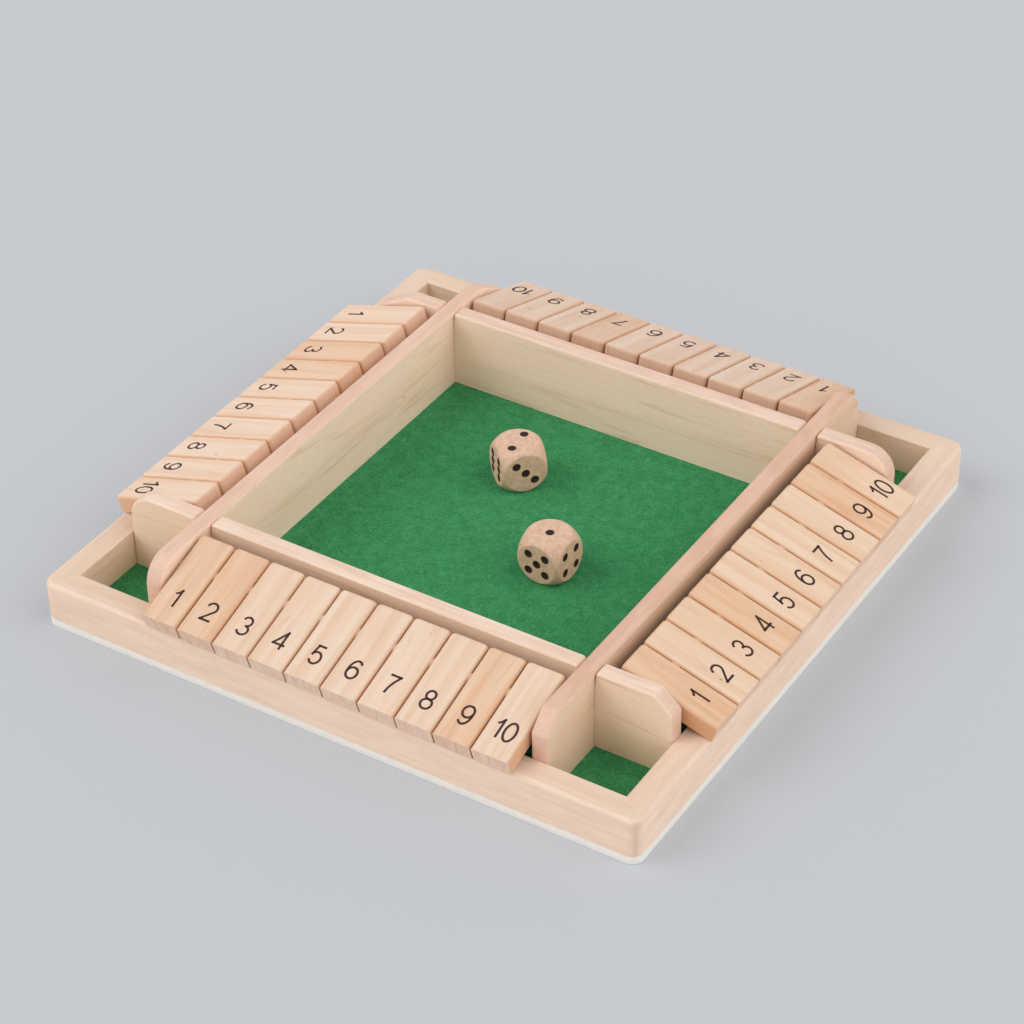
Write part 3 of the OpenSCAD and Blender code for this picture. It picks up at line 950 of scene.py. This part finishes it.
@dataclass
class Dividers:
    """The four crossing boards that make the tray and the corner pockets."""

    layout: Layout
    workshop: Workshop
    lap_gap: float = 0.15
    notch_radius: float = 1.4
    near_slope: Point2 = (6.5, 6.0)
    far_slope: Point2 = (13.0, 7.5)
    slope_radius: float = 2.5
    ear_radius: float = 9.0
    top_radius: float = 0.9

    def build(self) -> None:
        """Builds one board for each side, with its grain along its length."""
        for side, name in enumerate(SIDES):
            outline = self._outline(side % 2 == 0, self.near_slope if side < 2 else self.far_slope)
            shape = prism(outline, 0.0, self.layout.divider_out - self.layout.divider_in)
            ease(shape, self.top_radius, 4, self._is_rim)
            piece = Piece(f"divider_board_{name}", shape).smooth()
            piece.mark_grain((0.0, 260.0 * side, 7.0 * side))
            to_row = side_turn(side) @ axes((0, 0, 1), (1, 0, 0), (0, 1, 0), (0, -self.layout.divider_out, 0))
            settle(piece.place(to_row, [self.workshop.dividers[side]]), "board", "divider", f"divider_{name}")

    def _is_rim(self, edge: bmesh.types.BMEdge) -> bool:
        """Tells whether an edge lies along the top or an ear, on either face of the board."""
        one, two = edge.verts[0].co, edge.verts[1].co
        lay = self.layout
        if abs(one.z - two.z) > 1e-6:
            return False
        in_notch = all(lay.divider_in - 0.5 < abs(v.y) < lay.divider_out + 0.5 for v in (one, two))
        low = min(one.x, two.x) < lay.divider_top - self.notch_radius - 0.01
        at_foot = max(one.x, two.x) < lay.felt_top + 0.01
        return not at_foot and not (in_notch and low)

    def _ear(self, slope: Point2 | None) -> list[Point2]:
        """Returns the end of the top edge as height and distance along, from the top down to the rail.

        Args:
            slope: The run and drop of a sloping ear, or None for a round one.

        Returns:
            The ear's points.
        """
        end, top, low = self.layout.rail_inner, self.layout.divider_top, self.layout.felt_top
        if slope is None:
            return corner_arc((top, 0.0), (top, end), (low, end), self.ear_radius, 12)
        crest, toe = (top, end - slope[0]), (top - slope[1], end)
        return (corner_arc((top, 0.0), crest, toe, self.slope_radius)
                + corner_arc(crest, toe, (low, end), self.slope_radius))

    def _top_notch(self) -> list[Point2]:
        """Returns the eased notch that opens upwards, from the tray side outwards."""
        lay = self.layout
        near, far = lay.divider_in - self.lap_gap, lay.divider_out + self.lap_gap
        deep = (lay.felt_top + lay.divider_top) / 2
        return (corner_arc((lay.divider_top, 0.0), (lay.divider_top, near), (deep, near), self.notch_radius, 6)
                + [(deep, near), (deep, far)]
                + corner_arc((deep, far), (lay.divider_top, far), (lay.divider_top, lay.rail_inner),
                             self.notch_radius, 6))

    def _foot_notch(self) -> list[Point2]:
        """Returns the notch that opens downwards, from the outside in."""
        lay = self.layout
        near, far = lay.divider_in - self.lap_gap, lay.divider_out + self.lap_gap
        deep = (lay.felt_top + lay.divider_top) / 2
        return [(lay.felt_top, far), (deep, far), (deep, near), (lay.felt_top, near)]

    def _outline(self, notch_on_top: bool, slope: Point2) -> list[Point2]:
        """Returns the side view as heights and distances along the board.

        Args:
            notch_on_top: Whether the notches open upwards; the right end then slopes, and otherwise the left.
            slope: The run and drop of the sloping ear.

        Returns:
            The outline's points.
        """
        def half(ear: Point2 | None) -> list[Point2]:
            """Returns one half of the outline, from the middle of the top to the middle of the foot."""
            top = (self._top_notch() if notch_on_top else []) + self._ear(ear)
            foot = [] if notch_on_top else self._foot_notch()
            return top + [(self.layout.felt_top, self.layout.rail_inner)] + foot

        right, left = (slope, None) if notch_on_top else (None, slope)
        return half(right) + [(x, -y) for x, y in half(left)][::-1]


class Numerals:
    """Thin sans numerals, drawn as centrelines in a cell that is one unit tall."""

    @staticmethod
    def strokes(digit: str) -> list[list[Point2]]:
        """Returns the strokes of one digit."""
        table: dict[str, list[list[Point2]]] = {
            "0": [arc((0.3, 0.5), (0.28, 0.5), 90, 450, 36)],
            "1": [[(0.06, 0.74), (0.2, 0.83), (0.31, 1.0), (0.31, 0.0)]],
            "2": [arc((0.3, 0.72), (0.27, 0.28), 172, -34, 18) + [(0.03, 0.0), (0.6, 0.0)]],
            "3": [arc((0.29, 0.75), (0.24, 0.25), 165, -90, 16), arc((0.29, 0.26), (0.28, 0.26), 90, -165, 18)],
            "4": [[(0.46, 0.0), (0.46, 1.0), (0.0, 0.27), (0.64, 0.27)]],
            "5": [[(0.54, 1.0), (0.14, 1.0), (0.06, 0.49)] + arc((0.29, 0.33), (0.28, 0.33), 135, -155, 20)],
            "6": [arc((0.3, 0.31), (0.28, 0.31), 0, 360, 30),
                  arc((0.33, 0.48), (0.31, 0.52), 45, 180, 16) + [(0.02, 0.33)]],
            "7": [[(0.02, 1.0), (0.58, 1.0), (0.4, 0.7), (0.27, 0.36), (0.21, 0.0)]],
            "8": [arc((0.3, 0.76), (0.23, 0.24), 0, 360, 28), arc((0.3, 0.27), (0.28, 0.27), 0, 360, 30)],
        }
        if digit == "9":
            return [[(0.6 - x, 1.0 - y) for x, y in stroke] for stroke in table["6"]]
        return table[digit]

    @staticmethod
    def width(digit: str) -> float:
        """Returns how far a digit's centrelines reach across its cell."""
        return 0.33 if digit == "1" else 0.6

    @staticmethod
    def cut_corners(stroke: Sequence[Point2], reach: float, sharpest: float = 40.0) -> list[list[Vector]]:
        """Cuts a stroke at its sharp corners and runs both parts past them, so that they keep their width.

        Args:
            stroke: The centreline.
            reach: How far each part runs past a corner.
            sharpest: The turn in degrees at which a stroke is cut.

        Returns:
            The parts.
        """
        points = [Vector(point) for point in stroke]
        parts, part = [], [points[0]]
        for before, here, after in zip(points, points[1:], points[2:]):
            into, out = (here - before).normalized(), (after - here).normalized()
            if into.dot(out) < math.cos(math.radians(sharpest)):
                parts.append(part + [here + into * reach])
                part = [here - out * reach]
            else:
                part.append(here)
        return parts + [part + [points[-1]]]


@dataclass
class NumberTiles:
    """The forty flip tiles, each with its printed numeral."""

    layout: Layout
    workshop: Workshop
    thickness: float = 6.4
    heel: float = 12.0
    overhang: float = 0.45
    rail_round: float = 1.5
    rest_gap: float = 0.1
    bore_radius: float = 1.56
    boss_radius: float = 2.55
    boss_height: float = 0.2
    corner_radius: float = 1.5
    top_radius: float = 1.1
    edge_ease: float = 0.3
    number_height: float = 6.6
    number_from_rod: tuple[float, ...] = (12.9, 12.2, 12.6, 14.2)
    digit_gap: float = 1.35
    stroke_width: float = 0.8
    film: float = 0.06
    warm: tuple[str, ...] = ("front_1", "front_2", "front_9", "right_1", "right_4", "right_9", "back_1", "back_7",
                             "left_3", "left_4")

    def __post_init__(self) -> None:
        """Works out how a tile lies on the rail, as the frame's tiles do."""
        lay = self.layout
        reach = lay.half_w - self.rail_round - lay.rod_y
        rise = lay.rod_z - lay.rail_top + self.rail_round
        standoff = self.rail_round + self.rest_gap + self.thickness / 2
        self.tilt = math.acos(standoff / math.hypot(reach, rise)) - math.atan2(reach, rise)
        outer = lay.half_w + self.overhang - lay.rod_y + self.thickness / 2 * math.sin(self.tilt)
        self.toe = outer / math.cos(self.tilt)
        self.ink_tree = self._ink_tree()
        self.chance = random.Random(SEED)

    def build(self) -> None:
        """Builds ten tiles for each side, from one blank."""
        blank = self._blank()
        for side, name in enumerate(SIDES):
            for i in range(1, self.layout.tiles + 1):
                self._tile(blank, side, name, i)
        bpy.data.meshes.remove(blank.mesh)

    def _blank(self) -> Piece:
        """Returns a tile without its numeral, with the rod's axis along X through the origin."""
        half, thick = self.layout.tile_width / 2, self.thickness / 2
        corners = [(half, self.heel), (-half, self.heel)]
        inner = (corner_arc((half, -self.toe), corners[0], corners[1], self.corner_radius, 6)
                 + corner_arc(corners[0], corners[1], (-half, -self.toe), self.corner_radius, 6))
        shape = prism([(half, -self.toe)] + inner + [(-half, -self.toe)], -thick, thick)

        def on_top(edge: bmesh.types.BMEdge) -> bool:
            """Tells whether an edge runs round the top, apart from the outer end."""
            return (all(v.co.z > thick - 1e-4 for v in edge.verts)
                    and any(v.co.y > -self.toe + 1e-4 for v in edge.verts))

        def is_sharp(edge: bmesh.types.BMEdge) -> bool:
            """Tells whether an edge is still a square one."""
            return len(edge.link_faces) == 2 and edge.calc_face_angle() > math.radians(50)

        ease(shape, self.top_radius, 5, on_top)
        ease(shape, self.edge_ease, 2, is_sharp)
        blank = Piece("tile_blank", shape)
        for operation, radius, reach in (("UNION", self.boss_radius, half + self.boss_height),
                                         ("DIFFERENCE", self.bore_radius, half + 2.0)):
            drum = bmesh.new()
            bmesh.ops.create_cone(drum, cap_ends=True, segments=40, radius1=radius, radius2=radius,
                                  depth=2 * reach, matrix=Matrix.Rotation(math.pi / 2, 4, "Y"))
            tool = bpy.data.objects.new("turning_tool", Piece("turning_tool", drum).mesh)
            bpy.context.scene.collection.objects.link(tool)
            blank.refine(("BOOLEAN", {"operation": operation, "object": tool, "solver": "EXACT"}))
            bpy.data.objects.remove(tool)
        return blank.smooth()

    def _tile(self, blank: Piece, side: int, name: str, number: int) -> None:
        """Builds one tile and prints its number."""
        lay = self.layout
        cut_from = [self.chance.uniform(-400.0, 400.0) for _ in range(3)]
        piece = blank.copy(f"number_tile_{name}_{number}").mark_grain(cut_from)
        ink = self._number(str(number), self.number_from_rod[side])
        merged = bmesh.new()
        merged.from_mesh(piece.mesh)
        wooden = len(merged.faces)
        merged.from_mesh(ink)
        merged.faces.ensure_lookup_table()
        for face in merged.faces[wooden:]:
            face.material_index = 1
        merged.to_mesh(piece.mesh)
        merged.free()
        bpy.data.meshes.remove(ink)
        offset = (number - (lay.tiles + 1) / 2) * lay.tile_pitch
        to_row = (side_turn(side) @ Matrix.Translation((offset, -lay.rod_y, lay.rod_z))
                  @ Matrix.Rotation(self.tilt, 4, "X"))
        wood = self.workshop.tiles[side, f"{name}_{number}" in self.warm]
        tile = piece.place(to_row, [wood, self.workshop.ink])
        settle(tile, f"tile_{name}_{number}", "tile", f"tile_{name}_{number}")

    def _number(self, text: str, from_rod: float) -> bpy.types.Mesh:
        """Returns the printed strokes of a number on the tile's top, with its middle at a distance from the rod."""
        scale = self.number_height
        widths = [Numerals.width(digit) * scale for digit in text]
        left = -(sum(widths) + self.digit_gap * (len(text) - 1)) / 2
        curve = bpy.data.curves.new("number_lines", "CURVE")
        curve.dimensions = "3D"
        foot = -from_rod - scale / 2
        for digit, width in zip(text, widths):
            reach = self.stroke_width / scale / 2
            for part in (p for stroke in Numerals.strokes(digit) for p in Numerals.cut_corners(stroke, reach)):
                line = curve.splines.new("POLY")
                line.points.add(len(part) - 1)
                for point, place in zip(line.points, part):
                    point.co = (left + place.x * scale, foot + place.y * scale, self.thickness / 2, 1.0)
            left += width + self.digit_gap
        printed = grow("printed_number", curve, self.ink_tree, None, None,
                       {"Stroke Width": self.stroke_width, "Film": self.film, "Material": self.workshop.ink})
        mesh = printed.data
        bpy.data.objects.remove(printed)
        bpy.data.curves.remove(curve)
        return mesh

    @staticmethod
    def _ink_tree() -> bpy.types.NodeTree:
        """Builds the tree that turns centrelines into flat printed strokes."""
        tree = bpy.data.node_groups.new("printed_strokes", "GeometryNodeTree")
        for label, kind in (("Geometry", "NodeSocketGeometry"), ("Stroke Width", "NodeSocketFloat"),
                            ("Film", "NodeSocketFloat"), ("Material", "NodeSocketMaterial")):
            tree.interface.new_socket(label, in_out="INPUT", socket_type=kind)
        tree.interface.new_socket("Geometry", in_out="OUTPUT", socket_type="NodeSocketGeometry")
        graph = Graph(tree)
        given, result = graph.add("NodeGroupInput").outputs, graph.add("NodeGroupOutput")
        level = graph.add("GeometryNodeSetCurveNormal", {0: given["Geometry"]}, mode="Z_UP")
        section = graph.add("GeometryNodeCurvePrimitiveQuadrilateral",
                            {"Width": given["Stroke Width"], "Height": given["Film"]})
        swept = graph.add("GeometryNodeCurveToMesh", {"Curve": level.outputs[0], "Profile Curve": section.outputs[0],
                                                      "Fill Caps": True})
        real = graph.add("GeometryNodeRealizeInstances", {0: swept.outputs[0]})
        dressed = graph.add("GeometryNodeSetMaterial", {"Geometry": real.outputs[0], "Material": given["Material"]})
        graph.put(result.inputs[0], dressed.outputs[0])
        return tree


@dataclass
class Rods:
    """The four dowels that the tiles turn on, whose solids are right as they are."""

    layout: Layout
    workshop: Workshop

    def build(self) -> None:
        """Gives each rod the dowel finish, with its grain along it."""
        for side, name in enumerate(SIDES):
            rod = self.layout.frame["nodes"][f"rod_{name}"]
            rod.data.materials.clear()
            rod.data.materials.append(self.workshop.dowels[side % 2])
            LOG.info("rod_%s keeps its solid", name)


@dataclass
class Dice:
    """The two wooden dice in the tray."""

    layout: Layout
    workshop: Workshop
    width: float = 16.0
    ball: float = 21.6
    blend: float = 0.14
    pip_radius: float = 1.4
    pip_depth: float = 0.42
    pip_pitch: float = 3.2
    steps: int = 84
    turns: tuple[float, float] = (50.0, -2.0)
    faces: tuple[tuple[int, int, int], ...] = ((2, 3, 1), (1, 5, 4))

    def build(self) -> None:
        """Builds each die where its solid lies."""
        for i, (turn, faces) in enumerate(zip(self.turns, self.faces), 1):
            low, high = self.layout.box(f"die_{i}")
            centre = (low + high) / 2
            shape, pips = self._shape(*faces)
            piece = Piece(f"wooden_die_{i}", shape)
            self._mark_pips(piece.mesh, pips)
            piece.mesh.shade_smooth()
            piece.mark_grain((37.0 * i, 90.0 * i, 5.0))
            to_row = Matrix.Translation(centre) @ Matrix.Rotation(math.radians(turn), 4, "Z")
            settle(piece.place(to_row, [self.workshop.die]), f"die_{i}", "die", f"die_{i}")

    @staticmethod
    def _pattern(count: int) -> list[Point2]:
        """Returns the places of the pips on a face, in units of their pitch."""
        ends = [(-1, -1), (1, 1)]
        patterns = {1: [(0, 0)], 2: ends, 3: [(-1, 1), (0, 0), (1, -1)],
                    4: ends + [(-1, 1), (1, -1)], 5: ends + [(-1, 1), (1, -1), (0, 0)],
                    6: [(x, y) for x in (-1, 0, 1) for y in (-1, 1)]}
        return patterns[count]

    def _facings(self, top: int, front: int, right: int) -> list[tuple[Matrix, int]]:
        """Returns the turn of each face from the top, and its count."""
        def turned(angle: float, axis: str) -> Matrix:
            """Returns a turn about one axis."""
            return Matrix.Rotation(math.radians(angle), 3, axis)
        return [(turned(0, "X"), top), (turned(180, "X"), 7 - top), (turned(90, "X"), front),
                (turned(-90, "X"), 7 - front), (turned(90, "Y"), right), (turned(-90, "Y"), 7 - right)]

    def _shape(self, top: int, front: int, right: int) -> tuple[bmesh.types.BMesh, list[tuple[Vector, Vector]]]:
        """Returns a cube rounded by a ball, with dished pips, and each pip's middle and facing."""
        half, reach = self.width / 2, self.ball / 2
        shape, pips = bmesh.new(), []
        angles = [math.tan(math.radians(45) * (2 * i / self.steps - 1)) for i in range(self.steps + 1)]
        for turn, count in self._facings(top, front, right):
            spots = [Vector((x * self.pip_pitch, y * self.pip_pitch, half)) for x, y in self._pattern(count)]
            facing = turn @ UP
            pips += [(turn @ spot, facing) for spot in spots]
            grid = []
            for a in angles:
                row = []
                for b in angles:
                    ray = Vector((a, b, 1.0))
                    to_cube, to_ball = half, reach / ray.length
                    gap = max(self.blend - abs(to_cube - to_ball), 0.0) / self.blend
                    spot = ray * (min(to_cube, to_ball) - gap * gap * self.blend / 4)
                    spot.z -= max((self._dish(spot, middle) for middle in spots), default=0.0)
                    row.append(shape.verts.new(turn @ spot))
                grid.append(row)
            for i in range(self.steps):
                for j in range(self.steps):
                    shape.faces.new((grid[i][j], grid[i + 1][j], grid[i + 1][j + 1], grid[i][j + 1]))
        return shape, pips

    def _dish(self, spot: Vector, middle: Vector) -> float:
        """Returns how deep one pip is at a point of its face."""
        share = (spot.xy - middle.xy).length / self.pip_radius
        return self.pip_depth * (1.0 - share * share) if share < 1.0 else 0.0

    def _mark_pips(self, mesh: bpy.types.Mesh, pips: list[tuple[Vector, Vector]]) -> None:
        """Stores each point's distance from the nearest pip of its face, in millimetres."""
        far = 4.0
        places = np.empty(len(mesh.vertices) * 3, np.float32)
        mesh.vertices.foreach_get("co", places)
        places = places.reshape(-1, 3)
        nearest = np.full(len(places), far, np.float32)
        for middle, facing in pips:
            away = places - np.array(middle, np.float32)
            depth = away @ np.array(facing, np.float32)
            flat = np.linalg.norm(away - depth[:, None] * np.array(facing, np.float32), axis=1)
            nearest = np.where(np.abs(depth) < 1.0, np.minimum(nearest, flat), nearest)
        mesh.attributes.new("pip", "FLOAT", "POINT").data.foreach_set("value", nearest)


@dataclass(frozen=True)
class Lamp:
    """A soft lamp so far away that only its direction counts."""

    name: str
    comes_from: tuple[float, float, float]
    strength: float
    softness: float

    def build(self) -> None:
        """Hangs the lamp."""
        lamp = bpy.data.lights.new(self.name, "SUN")
        lamp.energy = self.strength
        lamp.angle = math.radians(self.softness)
        stand = bpy.data.objects.new(self.name, lamp)
        stand.rotation_euler = Vector(self.comes_from).to_track_quat("Z", "Y").to_euler()
        bpy.context.scene.collection.objects.link(stand)


@dataclass
class Studio:
    """The pale floor, the soft light and the camera."""

    azimuth: float = 32.63
    elevation: float = 36.89
    roll: float = -0.995
    distance: float = 1.0055
    target: tuple[float, float] = (-0.01284, 0.01767)
    lens: float = 104.8
    floor_colour: Colour = rgb(198, 201, 206)
    floor_half: float = 4.0
    horizon: float = 1.2
    zenith: float = 0.05
    bounce: float = 0.62
    glow: float = 0.28
    lamps: tuple[Lamp, ...] = (
        Lamp("key_softbox", (-0.79, -0.61, 1.0), 1.38, 45.0),
        Lamp("fill_softbox", (0.87, 0.15, 1.0), 1.3, 60.0))

    def build(self) -> None:
        """Builds the stage."""
        self._floor()
        self._light()
        self._camera()
        bpy.context.scene.view_settings.view_transform = "Standard"

    @staticmethod
    def _seen(graph: Graph) -> bpy.types.NodeSocket:
        """Returns one for rays that show the backdrop, straight or in a reflection, and else nought."""
        path = graph.add("ShaderNodeLightPath").outputs
        return graph.maths("MAXIMUM", path["Is Camera Ray"],
                           graph.maths("MAXIMUM", path["Is Glossy Ray"], path["Is Transmission Ray"]))

    def _floor(self) -> None:
        """Lays a wide plain floor under the board."""
        half = self.floor_half
        mesh = bpy.data.meshes.new("studio_floor")
        corners = [(-half, -half, 0.0), (half, -half, 0.0), (half, half, 0.0), (-half, half, 0.0)]
        mesh.from_pydata(corners, [], [(0, 1, 2, 3)])
        floor = bpy.data.objects.new("studio_floor", mesh)
        floor.location.z = -0.02 * MM
        bpy.context.scene.collection.objects.link(floor)
        material = bpy.data.materials.new("studio_grey")
        material.use_nodes = True
        material.node_tree.nodes.clear()
        graph = Graph(material.node_tree)
        seen = self._seen(graph)
        white = graph.add("ShaderNodeBsdfDiffuse", {"Color": (self.bounce,) * 3})
        grey = graph.add("ShaderNodeBsdfDiffuse", {"Color": self.floor_colour})
        plain = graph.add("ShaderNodeEmission", {"Color": self.floor_colour})
        lit = graph.add("ShaderNodeMixShader", {0: self.glow, 1: grey.outputs[0], 2: plain.outputs[0]})
        either = graph.add("ShaderNodeMixShader", {0: seen, 1: white.outputs[0], 2: lit.outputs[0]})
        graph.add("ShaderNodeOutputMaterial", {0: either.outputs[0]})
        mesh.materials.append(material)

    def _light(self) -> None:
        """Makes a white sky, brighter near the horizon, that the camera sees as floor grey, and a soft sun."""
        world = bpy.data.worlds.new("studio_sky")
        world.use_nodes = True
        bpy.context.scene.world = world
        graph = Graph(world.node_tree)
        world.node_tree.nodes.clear()
        seen = self._seen(graph)
        height = graph.add("ShaderNodeSeparateXYZ", {0: graph.add("ShaderNodeTexCoord").outputs["Generated"]})
        strength = graph.ramp(height.outputs["Z"], 0.0, 1.0, self.horizon, self.zenith)
        plain = graph.add("ShaderNodeBackground", {"Color": (1.0, 1.0, 1.0), "Strength": strength})
        wall = graph.add("ShaderNodeBackground", {"Color": self.floor_colour, "Strength": 1.0})
        either = graph.add("ShaderNodeMixShader", {0: seen, 1: plain.outputs[0], 2: wall.outputs[0]})
        graph.add("ShaderNodeOutputWorld", {0: either.outputs[0]})
        for lamp in self.lamps:
            lamp.build()

    def _camera(self) -> None:
        """Sets the camera to the photograph's angle."""
        azimuth, elevation = math.radians(self.azimuth), math.radians(self.elevation)
        back = Vector((math.sin(azimuth) * math.cos(elevation), -math.cos(azimuth) * math.cos(elevation),
                       math.sin(elevation)))
        right = (-back).cross(UP).normalized()
        up = right.cross(-back)
        turn = math.radians(self.roll)
        across = math.cos(turn) * right + math.sin(turn) * up
        upright = -math.sin(turn) * right + math.cos(turn) * up
        lens = bpy.data.cameras.new("photo_camera")
        lens.lens, lens.sensor_width, lens.sensor_fit = self.lens, 36.0, "HORIZONTAL"
        lens.clip_start, lens.clip_end = 0.05, 30.0
        camera = bpy.data.objects.new("photo_camera", lens)
        spot = Vector((*self.target, 0.0)) + back * self.distance
        camera.matrix_world = axes(across, upright, back, spot)
        bpy.context.scene.collection.objects.link(camera)
        bpy.context.scene.camera = camera


def main() -> None:
    """Builds the game group by group."""
    logging.basicConfig(level=logging.INFO, format="%(message)s")
    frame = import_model()
    Studio().build()
    layout, workshop = Layout(frame), Workshop()
    for group in (BaseAndFelt, Rails, Dividers, Rods, NumberTiles, Dice):
        group(layout, workshop).build()


if __name__ == "__main__":
    main()
